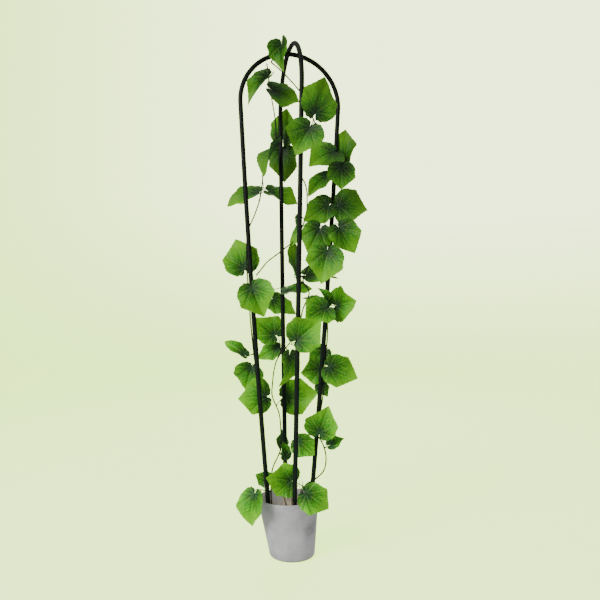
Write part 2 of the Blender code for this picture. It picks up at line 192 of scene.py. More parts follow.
def run(start, end, steps):
    """Points of (distance, height) on a straight line, without its last one."""
    return np.linspace(start, end, steps + 1)[:-1]


def pot_profile():
    """Half section from the middle of the inside floor, up the wall, over the rim and down to the foot."""
    inner_foot = pot_radius(POT_FLOOR) - POT_WALL
    inner_rim = POT_RIM_RADIUS - POT_WALL
    rim_round = POT_WALL / 2
    slope = math.degrees(math.atan((POT_RIM_RADIUS - POT_BASE_RADIUS) / POT_HEIGHT))
    rim_centre = (POT_RIM_RADIUS - rim_round, POT_HEIGHT - rim_round)
    foot_centre = (pot_radius(POT_FOOT_ROUND) - POT_FOOT_ROUND, POT_FOOT_ROUND)
    return np.vstack([
        run((0, POT_FLOOR), (inner_foot - POT_CORNER_ROUND, POT_FLOOR), POT_INSIDE_STEPS[0]),
        arc((inner_foot - POT_CORNER_ROUND, POT_FLOOR + POT_CORNER_ROUND), POT_CORNER_ROUND, -90, -slope,
            POT_INSIDE_STEPS[1]),
        run((pot_radius(POT_FLOOR + 8 * MM) - POT_WALL, POT_FLOOR + 8 * MM),
            (inner_rim, POT_HEIGHT - rim_round), POT_INSIDE_STEPS[2]),
        arc(rim_centre, rim_round, 180, 0, POT_RIM_STEPS),
        run((pot_radius(POT_HEIGHT - 2 * rim_round), POT_HEIGHT - 2 * rim_round),
            (pot_radius(POT_FOOT_ROUND + 2 * MM), POT_FOOT_ROUND + 2 * MM), POT_OUTSIDE_STEPS),
        arc(foot_centre, POT_FOOT_ROUND, -slope, -90, POT_FOOT_STEPS[0]),
        run((foot_centre[0] - 3 * MM, 0), (0, 0), POT_FOOT_STEPS[1]), [(0, 0)]])


def pot_points():
    """The half section turned about the pot's axis. The outer wall's distance is changed by slow waves,
    sines of the bearing and the height, and pressed in by a bell-shaped dent. Each level is then slid
    sideways in proportion to its height, because the pot leans."""
    profile = pot_profile()
    bearing = np.linspace(0, 2 * math.pi, POT_STEPS_ROUND, endpoint=False)
    distance, height = (side[:, None] for side in profile.T)
    is_outside = np.arange(len(profile))[:, None] > sum(POT_INSIDE_STEPS) + POT_RIM_STEPS // 2
    band = np.sin(math.pi * np.clip(height / POT_HEIGHT, 0, 1))
    waves = (0.35 * np.sin(2 * bearing + 0.6) + 0.22 * np.sin(3 * bearing + 45 * height)
             + 0.12 * np.sin(7 * bearing + 90 * height + 1)) * MM * band
    away = np.angle(np.exp(1j * (bearing - DENT_BEARING))) * pot_radius(DENT_HEIGHT)
    above = height - DENT_HEIGHT
    dent = DENT_DEPTH * np.exp(-(away / DENT_HALF_WIDTH) ** 2 - (above / DENT_HALF_HEIGHT) ** 2)
    distance = np.maximum(distance + np.where(is_outside, waves - dent, 0) * (distance > 30 * MM), 0)
    centre = pot_axis(height)
    x = distance * np.cos(bearing) + centre[..., 0]
    y = distance * np.sin(bearing) + centre[..., 1]
    return np.stack([x, y, np.broadcast_to(height, x.shape)], axis=-1)


def cast_cement():
    """Cement, cast and left matt: pale grey with slow cloudy patches where it dried unevenly, fine sand
    grain and small air holes. Round the dent the colour is painted greyer, a painted shade in its hollow,
    and it turns greyer towards the foot. It gives a dry, chalky face with no shine. The sand is drawn at
    1.2 mm and the holes at 5 mm apart, coarser than real, so they show."""
    material, node, shader, spots = start_material("light_cement_cast_matt", Roughness=0.86,
                                                   Specular_IOR_Level=0.3)
    place = spots["Object"]
    cloud = node("TexNoise", {"Vector": place, "Scale": 28.0, "Detail": 4.0, "Roughness": 0.6})
    tint = node("ValToRGB", {"Fac": cloud}, stops=[(0.3, "b6b6b9"), (0.5, "c9c9cc"), (0.72, "dadadb")])
    sand = node("TexNoise", {"Vector": place, "Scale": 830.0, "Detail": 2.0})
    speck = node("ValToRGB", {"Fac": sand}, stops=[(0.36, 0.86), (0.6, 1.0)])
    grainy = node("Mix", {0: 1.0, 6: tint, 7: speck}, data_type="RGBA", blend_type="MULTIPLY")
    # Painted shade: the cement's colour is darkened round the dent, where its hollow takes shade.
    dent_radius = pot_radius(DENT_HEIGHT) - 2 * MM
    middle = pot_axis(DENT_HEIGHT)
    dent_place = (middle[0] + dent_radius * math.cos(DENT_BEARING),
                  middle[1] + dent_radius * math.sin(DENT_BEARING), DENT_HEIGHT)
    away = node("VectorMath", {0: place, 1: dent_place}, operation="DISTANCE")
    rough_edge = node("Math", {0: cloud, 1: 0.03, 2: away.outputs["Value"]}, operation="MULTIPLY_ADD")
    dent_painted_shade = node("MapRange", {0: rough_edge, 1: 0.014, 2: 0.038, 3: 0.6, 4: 0.0})
    dent_shaded_colour = node("Mix", {0: dent_painted_shade, 6: grainy.outputs[2], 7: linear("605e5d")}, data_type="RGBA")
    # Greyer towards the foot, fading out over the lowest 25 mm.
    level = node("SeparateXYZ", {0: place}).outputs["Z"]
    foot = node("MapRange", {0: level, 1: 0.0, 2: 0.025, 3: 0.2, 4: 0.0})
    colour = node("Mix", {0: foot, 6: dent_shaded_colour.outputs[2], 7: linear("858584")}, data_type="RGBA")
    holes = node("TexVoronoi", {"Vector": place, "Scale": 200.0, "Randomness": 1.0})
    pits = node("MapRange", {0: holes, 1: 0.05, 2: 0.2, 3: 0.0, 4: 1.0})
    relief = node("Math", {0: sand, 1: pits}, operation="ADD")
    bump = node("Bump", {"Strength": 0.35, "Distance": 0.0004, "Height": relief})
    fill(shader, {"Base Color": colour.outputs[2], "Normal": bump})
    return material


pot = add_surface("pot_cast", pot_points(), "pot", [cast_cement()], close_columns=True)
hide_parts("pot")

# ----------------------------------------
# Cement plug. Coarse mix poured round the legs and left rough. It stands loose in the pot and stays under
# the straw, so its own faceted solid is kept and only given its finish.
# ----------------------------------------


def finish_node(name, material):
    """Gives a solid that keeps its own shape its finish."""
    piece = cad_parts[name]
    piece.data.materials.clear()
    piece.data.materials.append(material)


def rough_cement():
    """Cement mortar, poured and left as it set: brown-grey, with sand and small stones in the face."""
    material, node, shader, spots = start_material("cement_mortar_poured_rough", Roughness=0.95)
    place = spots["Object"]
    stones = node("TexVoronoi", {"Vector": place, "Scale": 220.0})
    cloud = node("TexNoise", {"Vector": place, "Scale": 60.0, "Detail": 5.0})
    tint = node("ValToRGB", {"Fac": cloud}, stops=[(0.3, "6f695f"), (0.55, "8b857a"), (0.75, "a39c8f")])
    bump = node("Bump", {"Strength": 0.6, "Distance": 0.001, "Height": stones})
    fill(shader, {"Base Color": tint, "Normal": bump})
    return material


finish_node("filling_plug", rough_cement())

# ----------------------------------------
# Hoops. Each is one steel tube bent to a half circle at the top, with legs that converge and bow slightly,
# inside a polyethylene sleeve that was shrunk on. The upper hoop passes over the lower one at the crown.
# ----------------------------------------
LOWER_HOOP = {"top": 1.179, "arch": 0.119, "foot": 0.0445, "bow": 0.0046}
UPPER_HOOP = {"top": 1.1945, "arch": 0.120, "foot": 0.0413, "bow": 0.0045}
LEG_END = 45 * MM
SLEEVE_RADIUS = 5.5 * MM
SLEEVE_WALL = 0.5 * MM
SLEEVE_SIDES = 32
LEG_STEPS = 59
ARCH_STEPS = 64


def leg_spread(hoop, height):
    """Distance from the axis to a leg's centre line: a straight line plus a shallow parabola."""
    shoulder = hoop["top"] - hoop["arch"]
    down = (shoulder - height) / (shoulder - LEG_END)
    return hoop["arch"] - (hoop["arch"] - hoop["foot"]) * down + 4 * hoop["bow"] * down * (1 - down)


def hoop_line(hoop, turn):
    """Centre line from one leg's end over the half circle to the other's, turned about the axis."""
    shoulder = hoop["top"] - hoop["arch"]
    heights = np.linspace(LEG_END, shoulder, LEG_STEPS + 1)[:-1]
    spread = leg_spread(hoop, heights)
    angle = np.linspace(0, math.pi, ARCH_STEPS + 1)
    across = np.concatenate([spread, hoop["arch"] * np.cos(angle), -spread[::-1]])
    up = np.concatenate([heights, shoulder + hoop["arch"] * np.sin(angle), heights[::-1]])
    return np.stack([across * math.cos(turn), across * math.sin(turn), up], axis=1)


def unit(vectors):
    """The same directions with a length of one."""
    return vectors / np.linalg.norm(vectors, axis=-1, keepdims=True)


def carried_frames(line):
    """Two directions across a path at each of its points, carried along it without twist: each step's
    direction is last step's with its part along the path taken away."""
    along = unit(np.gradient(line, axis=0))
    first = np.cross(along[0], (0.36, 0.48, 0.8))
    side = np.empty_like(along)
    for step, direction in enumerate(along):
        first = side[step] = unit(first - direction * first.dot(direction))
    return side, np.cross(along, side)


def tube_points(line, radius, sides):
    """A circle of the given radius (one value, or one for each point) carried along a line."""
    side, other = carried_frames(line)
    angle = np.linspace(0, 2 * math.pi, sides, endpoint=False)[None, :, None]
    radius = np.broadcast_to(radius, len(line))[:, None, None]
    return line[:, None] + radius * (np.cos(angle) * side[:, None] + np.sin(angle) * other[:, None])


def path_length(line):
    """How far along a line each of its points is."""
    steps = np.linalg.norm(np.diff(line, axis=0), axis=1)
    return np.concatenate([[0], np.cumsum(steps)])


def sleeve_plastic():
    """Polyethylene, extruded and shrunk on to the tube: near-black green and waxy, with little shine, faint
    lines along the tube from the die, and paler scuffed patches, most of them low on the legs.
    The lines are drawn 1.2 mm apart, coarser than real."""
    material, node, shader, spots = start_material("polyethylene_sleeve_extruded", IOR=1.51,
                                                   Specular_IOR_Level=0.12)
    place = spots["Object"]
    stretched = node("Mapping", {"Vector": spots["UV"], "Scale": (830.0, 6.0, 1.0)})
    lines = node("TexNoise", {"Vector": stretched, "Scale": 1.0, "Detail": 3.0})
    dust = node("TexNoise", {"Vector": place, "Scale": 38.0, "Detail": 6.0, "Roughness": 0.7})
    tint = node("ValToRGB", {"Fac": dust}, stops=[(0.35, "080d08"), (0.55, "0e150f"), (0.8, "162018")])
    # Paler scuffed patches, most of them low on the legs and none above 0.75 m.
    level = node("SeparateXYZ", {0: place}).outputs["Z"]
    low = node("MapRange", {0: level, 1: 0.1, 2: 0.75, 3: 0.6, 4: 0.0})
    scuff = node("TexNoise", {"Vector": place, "Scale": 70.0, "Detail": 3.0})
    worn = node("MapRange", {0: scuff, 1: 0.3, 2: 0.7, 3: 0.4, 4: 1.0})
    paler_low_patches = node("Math", {0: low, 1: worn}, operation="MULTIPLY")
    colour = node("Mix", {0: paler_low_patches, 6: tint, 7: linear("1f3326")}, data_type="RGBA")
    gloss = node("MapRange", {0: dust, 1: 0.3, 2: 0.75, 3: 0.42, 4: 0.56})
    bump = node("Bump", {"Strength": 0.05, "Distance": 0.0002, "Height": lines})
    fill(shader, {"Base Color": colour.outputs[2], "Roughness": gloss, "Normal": bump})
    return material


def zinc_steel():
    """Steel tube, welded and zinc plated: bright grey metal drawn with fine lines along its length."""
    material, node, shader, spots = start_material("steel_tube_zinc_plated", Metallic=1.0)
    place = spots["Object"]
    stretched = node("Mapping", {"Vector": place, "Scale": (900.0, 900.0, 20.0)})
    lines = node("TexNoise", {"Vector": stretched, "Scale": 1.0, "Detail": 3.0})
    tint = node("ValToRGB", {"Fac": lines}, stops=[(0.3, "8d9092"), (0.7, "b4b7b9")])
    rough = node("MapRange", {0: lines, 1: 0.3, 2: 0.7, 3: 0.28, 4: 0.45})
    fill(shader, {"Base Color": tint, "Roughness": rough})
    return material


def moulded_rubber():
    """Rubber-like polyethylene, moulded: black, dull, with a faint orange-peel face."""
    material, node, shader, spots = start_material("soft_polyethylene_moulded", Roughness=0.62, IOR=1.51)
    place = spots["Object"]
    peel = node("TexNoise", {"Vector": place, "Scale": 900.0, "Detail": 1.0})
    tint = node("ValToRGB", {"Fac": peel}, stops=[(0.3, "121410"), (0.7, "1d201a")])
    bump = node("Bump", {"Strength": 0.2, "Distance": 0.0003, "Height": peel})
    fill(shader, {"Base Color": tint, "Normal": bump})
    return material


sleeve_finish = sleeve_plastic()
core_finish = zinc_steel()
cap_finish = moulded_rubber()
for label, hoop, turn in (("lower", LOWER_HOOP, 0.0), ("upper", UPPER_HOOP, math.pi / 2)):
    line = hoop_line(hoop, turn)
    outside = tube_points(line, SLEEVE_RADIUS, SLEEVE_SIDES)
    inside = tube_points(line, SLEEVE_RADIUS - SLEEVE_WALL, SLEEVE_SIDES)
    skin = np.concatenate([outside, inside[::-1]])
    reach = path_length(line)
    girth = np.linspace(0, 2 * math.pi * SLEEVE_RADIUS, SLEEVE_SIDES, endpoint=False)
    uv = np.stack(np.broadcast_arrays(girth[None], np.concatenate([reach, reach[::-1]])[:, None]), axis=-1)
    sleeve = add_surface(f"{label}_hoop_sleeve", skin, "planted_frame",
                         [sleeve_finish], close_rows=True, close_columns=True, uv=uv)
    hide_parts(f"{label}_hoop_coat")
    finish_node(f"{label}_hoop_core", core_finish)
    finish_node(f"{label}_hoop_foot_cap_1", cap_finish)
    finish_node(f"{label}_hoop_foot_cap_2", cap_finish)

# ----------------------------------------
# Straw. Loose oat straw pressed on to the cement to hide it: a matted bed, stalks lying across it, and a
# few dozen stalks that stand up round the legs, some past the rim. All of it stays inside the pot's wall.
# ----------------------------------------
PLUG_TOP = 86 * MM
STRAW_SEED = 7
LYING_COUNT = 230
STANDING_COUNT = 64
# Least and greatest, in millimetres.
LYING_LENGTH = (25, 75)
STANDING_RISE = (32, 88)
STALK_RADIUS = (0.6, 1.2)
STALK_SIDES = 5
STALK_STATIONS = 7
BED_STEPS_ROUND = 96
BED_TOP_ROWS = 20
BED_UNDER_ROWS = 6


def bed_points():
    """A round mat, domed in the middle, whose height is a sum of short waves: a top face and a flat
    underside with a common edge."""
    bearing = np.linspace(0, 2 * math.pi, BED_STEPS_ROUND, endpoint=False)
    share = np.concatenate([np.linspace(0, 1, BED_TOP_ROWS), np.linspace(1, 0, BED_UNDER_ROWS)])[:, None]
    is_top = (np.arange(len(share)) < BED_TOP_ROWS)[:, None]
    edge = pot_radius(PLUG_TOP) - POT_WALL - 2 * MM
    x = share * edge * np.cos(bearing)
    y = share * edge * np.sin(bearing)
    rough = (np.sin(x * 900 + 3 * np.sin(y * 420)) + np.sin(y * 1100 + 2 * np.sin(x * 530))) * 0.7 * MM
    top = PLUG_TOP + 1 * MM + (5 * MM + rough) * np.sqrt(np.clip(1 - share ** 6, 0, 1))
    centre = pot_axis(PLUG_TOP)
    return np.stack([centre[0] + x, centre[1] + y, np.where(is_top, top, PLUG_TOP + 0.4 * MM)], axis=-1)


def stalk_lines(draw):
    """Centre lines of every stalk, as a (stalks, stations, 3) array. A lying one crosses the bed, pulled
    in to the pot's inside and bent down at its ends. A standing one starts in the bed near a leg or
    anywhere on it, leans outwards a little and bows along a parabola."""
    share = np.linspace(0, 1, STALK_STATIONS)[None, :, None]
    inside = pot_radius(PLUG_TOP) - POT_WALL - 4 * MM
    heading = draw.uniform(0, 2 * math.pi, LYING_COUNT)
    distance = inside * np.sqrt(draw.uniform(0, 1, LYING_COUNT)) * 0.95
    around = draw.uniform(0, 2 * math.pi, LYING_COUNT)
    length = draw.uniform(*LYING_LENGTH, LYING_COUNT) * MM
    middle = np.stack([distance * np.cos(around), distance * np.sin(around), np.zeros(LYING_COUNT)], axis=1)
    way = np.stack([np.cos(heading), np.sin(heading), np.zeros(LYING_COUNT)], axis=1)
    lying = middle[:, None] + way[:, None] * length[:, None, None] * (share - 0.5)
    crook = np.stack([-way[:, 1], way[:, 0], way[:, 2]], axis=1) * draw.normal(0, 5 * MM, (LYING_COUNT, 1))
    lying = lying + crook[:, None] * (2 * share - 1) ** 2
    far = np.linalg.norm(lying[..., :2], axis=-1, keepdims=True)
    lying[..., :2] *= np.minimum(1, inside / np.maximum(far, 1e-6))
    level = draw.uniform(5, 11, LYING_COUNT)[:, None] * MM
    lying[..., 2] = PLUG_TOP + level - 4 * MM * (far[..., 0] / inside) ** 2

    legs = np.array([(LOWER_HOOP["foot"], 0), (-LOWER_HOOP["foot"], 0),
                     (0, UPPER_HOOP["foot"]), (0, -UPPER_HOOP["foot"])])
    near = legs[draw.integers(0, 4, STANDING_COUNT)] + draw.normal(0, 11 * MM, (STANDING_COUNT, 2))
    spread = inside * np.sqrt(draw.uniform(0, 1, STANDING_COUNT)) * 0.9
    around = draw.uniform(0, 2 * math.pi, STANDING_COUNT)
    loose = np.stack([spread * np.cos(around), spread * np.sin(around)], axis=1)
    start = np.where((draw.uniform(0, 1, STANDING_COUNT) < 0.6)[:, None], near, loose)
    far = np.linalg.norm(start, axis=1, keepdims=True)
    start = start * np.minimum(1, 0.93 * inside / far)
    rise = draw.uniform(*STANDING_RISE, STANDING_COUNT) * MM * draw.uniform(0.7, 1.25, STANDING_COUNT)
    lean = draw.normal(0, 0.16, (STANDING_COUNT, 2))
    bow = draw.normal(0, 5 * MM, (STANDING_COUNT, 2))
    standing = np.empty((STANDING_COUNT, STALK_STATIONS, 3))
    standing[..., :2] = (start[:, None] + lean[:, None] * rise[:, None, None] * share
                         + bow[:, None] * 4 * share * (1 - share))
    standing[..., 2] = PLUG_TOP + 3 * MM + rise[:, None] * share[..., 0]
    lines = np.concatenate([lying, standing])
    reach = np.linalg.norm(lines[..., :2], axis=-1)
    room = pot_radius(np.minimum(lines[..., 2], POT_HEIGHT)) - POT_WALL - 2.5 * MM
    room = np.where(lines[..., 2] > POT_HEIGHT + 10 * MM, 1.0, room)
    lines[..., :2] *= np.minimum(1, room / np.maximum(reach, 1e-6))[..., None]
    lines[..., :2] += pot_axis(np.minimum(lines[..., 2], POT_HEIGHT))
    return lines


def stalk_points(draw):
    """Five-sided stalks about the centre lines, tapering to closed ends, with the place along each stalk
    and a shade of its own as UV."""
    lines = stalk_lines(draw)
    count = len(lines)
    along = unit(np.gradient(lines, axis=1))
    side = unit(np.cross(along, (0.31, 0.23, 0.92)))
    other = np.cross(along, side)
    thick = draw.uniform(*STALK_RADIUS, count)[:, None, None, None] * MM
    swell = np.interp(np.linspace(0, 1, STALK_STATIONS), [0, 0.02, 0.98, 1], [0, 1, 0.55, 0])
    angle = np.linspace(0, 2 * math.pi, STALK_SIDES, endpoint=False)[None, None, :, None]
    ring = np.cos(angle) * side[:, :, None] + np.sin(angle) * other[:, :, None]
    points = lines[:, :, None] + thick * swell[None, :, None, None] * ring
    shade = np.broadcast_to(draw.uniform(0, 1, count)[:, None, None], points.shape[:3])
    share = np.broadcast_to(np.linspace(0, 1, STALK_STATIONS)[None, :, None], points.shape[:3])
    return points, np.stack([shade, share], axis=-1)


def many_tube_faces(count, stations, sides):
    """Faces of many separate tubes of the same net, whose places follow one another."""
    index = place_numbers((count, stations, sides))
    return net(np.concatenate([index, index[:, :, :1]], axis=2))


def oat_straw():
    """Oat straw, dried and cut: pale beige to honey stalks, each its own shade and some of them darker and
    browner, with fine lines along the stalk. It has the dull silk of a dry stem."""
    material, node, shader, spots = start_material("oat_straw_dried", Roughness=0.6, Sheen_Weight=0.15)
    own_shade = node("SeparateXYZ", {0: spots["UV"]})
    place = spots["Object"]
    tint = node("ValToRGB", {"Fac": own_shade},
                stops=[(0.0, "dcc296"), (0.3, "f0dfba"), (0.8, "fbf2dc"), (0.9, "a06c4c"), (1.0, "6a3c2a")])
    lines = node("TexNoise", {"Vector": place, "Scale": 420.0, "Detail": 3.0})
    worn = node("ValToRGB", {"Fac": lines}, stops=[(0.3, 0.72), (0.6, 1.0)])
    colour = node("Mix", {0: 1.0, 6: tint, 7: worn}, data_type="RGBA", blend_type="MULTIPLY")
    bump = node("Bump", {"Strength": 0.4, "Distance": 0.0002, "Height": lines})
    fill(shader, {"Base Color": colour.outputs[2], "Normal": bump})
    return material


def matted_straw():
    """Chaff and short straw, matted: streaks of beige and brown in all directions, and in the gaps between
    them a dark brown that is painted shade.
    """
    material, node, shader, spots = start_material("straw_chaff_matted", Roughness=0.9)
    place = spots["Object"]
    streaks = []
    for turn in (0.4, 1.5, 2.6):
        turned = node("Mapping", {"Vector": place, "Rotation": (0, 0, turn), "Scale": (60, 700, 60)})
        streaks.append(node("TexNoise", {"Vector": turned, "Scale": 1.0, "Detail": 3.0}))
    higher = node("Math", {0: streaks[0], 1: streaks[1]}, operation="MAXIMUM")
    highest = node("Math", {0: higher, 1: streaks[2]}, operation="MAXIMUM")
    # Painted shade: the gaps between the streaks are dark brown, where shade falls between straws.
    tint = node("ValToRGB", {"Fac": highest},
                stops=[(0.42, "4a3520"), (0.52, "a08256"), (0.64, "dcc092"), (0.78, "ecd9b2")])
    bump = node("Bump", {"Strength": 0.9, "Distance": 0.001, "Height": highest})
    fill(shader, {"Base Color": tint, "Normal": bump})
    return material


straw_draw = np.random.default_rng(STRAW_SEED)
stalks, stalk_uv = stalk_points(straw_draw)
straw = add_faces("straw_stalks", stalks.reshape(-1, 3), many_tube_faces(*stalks.shape[:3]),
                  "planted_frame", [oat_straw()], uv=stalk_uv)
bed = add_surface("straw_bed", bed_points(), "planted_frame", [matted_straw()], close_columns=True)
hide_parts("straw_mulch")

# ----------------------------------------
# Vine stems. Four lengths of thin steel wire dipped in dark plastic, wound up the frame by hand. Between
# the legs they cross the open middle, and they lie close against a leg where they climb it.
# ----------------------------------------
STEM_RADIUS = 1.3 * MM
STEM_GAP = 0.75 * MM
CLIMB_STEP = 20 * MM
ROUTE_STEP = 5 * MM
COATING = 1.2
RIGHT_STEM_LOOP = [(20, -15, 92), (22, -16, 130), (32, -20, 163), (55, -30, 180), (75, -30, 200),
                   (80, -25, 232), (72, -16, 262)]
RIGHT_STEM_CROWN = [(106, -11, 918), (98, -4, 945), (84, 4, 966), (70, -18, 985), (50, -68, 985),
                    (35, -92, 992), (23, -92, 1025), (10, -65, 1065), (-15, -32, 1112),
                    (-32, -18, 1135), (-48, -10, 1151)]
LEFT_STEM_CROWN = [(-55, 9, 1155), (-47, 40, 1150), (-36, 78, 1130), (-24, 98, 1090), (-15, 110, 1053),
                   (-12, 117, 1013), (-20, 108, 985), (-46, 98, 930), (-51, 94, 889), (-61, 72, 842),
                   (-80, 34, 796), (-94, 12, 768)]
CROSS_STEM = [(-80, 6, 650), (-65, 10, 668), (-50, 15, 685), (-15, 22, 712), (15, 10, 740),
              (36, -2, 785), (42, 2, 835), (38, 2, 868), (22, -6, 892)]
MIDDLE_STEM = [(-42, -8, 92), (-46, -10, 130), (-46, -6, 165), (-40, 6, 200), (-18, 22, 240),
               (-14, 40, 280), (-16, 52, 320), (-32, 54, 360), (-32, 54, 390), (-26, 58, 430),
               (-14, 62, 458), (4, 20, 492), (15, -22, 525), (25, -24, 570), (44, -10, 610),
               (32, 2, 640), (45, -2, 675), (60, -30, 690)]
# Where a stem climbs a leg: heights in metres, and the side of the leg it lies on there, in degrees.
RIGHT_LEG_CLIMB = [(0.280, 235), (0.340, 300), (0.410, 365), (0.475, 375), (0.550, 285), (0.610, 265),
                   (0.665, 170), (0.720, 230), (0.895, 240)]
LEFT_LEG_CLIMB = [(0.355, 90), (0.450, 120), (0.600, 185), (0.640, 185), (0.745, 100)]


def climb(side, stations):
    """Route in millimetres up a leg of the lower hoop: at each height the stem's middle lies one leg
    radius, one stem radius and a small gap from the leg's centre, in the direction that was chosen. The
    stems' own solids have eight sides, so that distance is made up to their corners."""
    heights, bearings = zip(*stations)
    steps = round((heights[-1] - heights[0]) / CLIMB_STEP)
    height = np.linspace(heights[0], heights[-1], steps + 1)
    angle = np.radians(np.interp(height, heights, bearings))
    clear = (SLEEVE_RADIUS + STEM_RADIUS + STEM_GAP) / math.cos(math.pi / 8)
    x = side * leg_spread(LOWER_HOOP, height) + clear * np.cos(angle)
    return [tuple(point) for point in np.stack([x, clear * np.sin(angle), height], axis=1) / MM]


def smooth_route(points, spacing):
    """Points at about the given spacing along a curve whose pieces are cubic and pass through each given
    point, with the direction there parallel to the line between its neighbours."""
    knots = np.asarray(points, dtype=float)
    ends = np.vstack([2 * knots[0] - knots[1], knots, 2 * knots[-1] - knots[-2]])
    pieces = []
    for start in range(len(knots) - 1):
        before, here, there, after = ends[start:start + 4]
        steps = max(2, round(np.linalg.norm(there - here) / spacing))
        t = np.linspace(0, 1, steps, endpoint=False)[:, None]
        pieces.append(0.5 * (2 * here + (there - before) * t
                             + (2 * before - 5 * here + 4 * there - after) * t ** 2
                             + (3 * here - before - 3 * there + after) * t ** 3))
    return np.vstack([*pieces, knots[-1:]])


def capped_tube(line, radius, sides):
    """A tube along a line whose ends are drawn in to a point, so that it is closed."""
    first, last = (np.repeat(end, sides, 0)[None] for end in (line[:1], line[-1:]))
    return np.concatenate([first, tube_points(line, radius, sides), last])


def dipped_wire():
    """Wire dipped in soft vinyl: nearly black green with a low gloss, thicker and thinner drips that catch
    the light, and olive patches where the colour is thin. The drips are drawn 8 mm long."""
    material, node, shader, spots = start_material("wire_dipped_in_vinyl", Roughness=0.5, IOR=1.53,
                                                   Specular_IOR_Level=0.15)
    place = spots["Object"]
    patches = node("TexNoise", {"Vector": place, "Scale": 60.0, "Detail": 4.0})
    tint = node("ValToRGB", {"Fac": patches}, stops=[(0.3, "0d1309"), (0.55, "182210"), (0.75, "2c3a1a")])
    drips = node("TexNoise", {"Vector": place, "Scale": 125.0, "Detail": 2.0})
    bump = node("Bump", {"Strength": 0.3, "Distance": 0.0004, "Height": drips})
    fill(shader, {"Base Color": tint, "Normal": bump})
    return material


routes = {
    "vine_stem_right": RIGHT_STEM_LOOP + climb(1, RIGHT_LEG_CLIMB) + RIGHT_STEM_CROWN,
    "vine_stem_left": LEFT_STEM_CROWN + climb(-1, LEFT_LEG_CLIMB)[::-1],
    "vine_stem_cross": CROSS_STEM,
    "vine_stem_middle": MIDDLE_STEM,
}
routes = {name: smooth_route(np.array(points) * MM, ROUTE_STEP) for name, points in routes.items()}
stem_finish = dipped_wire()
for name, route in routes.items():
    reach = path_length(route)
    radius = STEM_RADIUS * (COATING + 0.08 * np.sin(reach * 260) + 0.05 * np.sin(reach * 611))
    stem = add_surface(name + "_wire", capped_tube(route, radius, 10), "planted_frame",
                       [stem_finish], close_columns=True)
    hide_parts(name)

# ----------------------------------------
# Ivy leaves. Each is a heart-shaped piece of thin woven polyester, printed, stiffened and pressed in a
# hot mould that gives it its veins and its fold. A moulded petiole with short ribs is glued to its back and
# pushed on to a stem.
# ----------------------------------------
FABRIC_THICKNESS = 0.45 * MM
LEAF_ROWS = 44
LEAF_COLUMNS = 41
VEIN_GAP_DEGREES = 42
LOBE_SWEEP = 0.21
TEETH = 11
TOOTH_DEPTH = 0.022
RIB_STATIONS = 12
# Where the petiole meets the blade, and the tip, in millimetres; blade width; the bearing and elevation
# that the upper face looks to (bearing 0 is -Y, 90 is +X); and the fold at the midrib, in degrees.
LEAVES = [
    ((-26, -28, 1188), (-20, -34, 1119), 54, -40, 0, 40),
    ((-49, 23, 1129), (-106, 32, 1072), 54, -15, 45, 35),
    ((-36, 46, 1108), (34, 56, 1085), 82, -15, 34, 10), ((32, -115, 1003), (50, -125, 1080), 92, 15, 5, 8),
    ((10, 136, 1014), (20, 134, 1095), 72, -15, 0, 10), ((13, -140, 961), (-17, -135, 902), 86, -15, 5, 15),
    ((98, -30, 942), (36, -45, 911), 90, -30, 15, 10), ((130, -5, 925), (140, -5, 1005), 74, -60, 0, 12),
    ((-19, 62, 978), (-72, 55, 910), 60, -85, 30, 20), ((12, 152, 988), (15, 132, 895), 76, -15, 5, 10),
    ((84, -22, 886), (34, -30, 842), 48, -15, 45, 20), ((105, -72, 898), (104, -74, 843), 68, -15, 20, 15),
    ((-71, 45, 853), (-146, 60, 830), 74, -15, 55, 10), ((-20, 155, 880), (52, 140, 855), 72, -15, 50, 10),
    ((90, -16, 818), (27, -20, 773), 70, -15, 15, 12), ((112, -30, 815), (178, -45, 806), 92, 0, 8, 10),
    ((62, -40, 758), (32, -44, 698), 78, -15, 0, 8), ((100, -70, 757), (137, -76, 700), 76, -5, 0, 25),
    ((64, -98, 700), (49, -102, 628), 88, -15, 5, 8), ((14, 5, 652), (-3, 8, 732), 58, 65, 0, 10),
    ((-105, 25, 668), (-126, 30, 738), 90, -15, 0, 8), ((52, 40, 655), (127, 25, 650), 66, -15, 48, 10),
    ((-95, -30, 620), (-70, -45, 555), 88, -15, 15, 12), ((-5, 22, 614), (55, 4, 626), 60, -15, 65, 10),
    ((-16, 130, 598), (35, 115, 554), 66, 10, 25, 10), ((105, -30, 580), (135, -80, 590), 88, -60, 0, 10),
    ((72, -55, 574), (22, -60, 546), 80, -15, 25, 12), ((-16, 104, 508), (-66, 105, 551), 82, -15, 0, 10),
    ((-6, 120, 474), (-57, 122, 448), 50, -15, 40, 10), ((-6, -100, 503), (44, -118, 545), 86, -5, 5, 15),
    ((100, 55, 470), (60, 60, 435), 54, -15, 10, 10), ((-108, 5, 466), (-150, 15, 500), 38, -15, 62, 15),
    ((-85, 42, 433), (-96, 60, 378), 76, -15, 10, 20), ((4, 25, 460), (-1, 25, 383), 70, 40, 0, 12),
    ((80, 25, 425), (30, 15, 420), 68, -15, 10, 15), ((90, -20, 435), (152, -45, 410), 80, -15, 15, 10),
    ((-55, 22, 365), (-119, 26, 361), 88, -15, 10, 8), ((9, 85, 353), (87, 70, 364), 92, -15, 10, 12),
    ((64, -30, 285), (80, -45, 345), 80, -15, 15, 15), ((90, -24, 254), (122, -32, 272), 36, -5, 45, 15),
    ((-5, 80, 235), (-10, 80, 280), 40, 35, 0, 15), ((20, 0, 263), (57, -10, 228), 60, -15, 0, 12),
    ((-1, -24, 176), (-68, -34, 192), 78, -15, 10, 20), ((-91, -45, 157), (-109, -50, 90), 72, -50, 5, 12),
    ((17, -90, 165), (70, -100, 129), 70, 5, 5, 10),
]
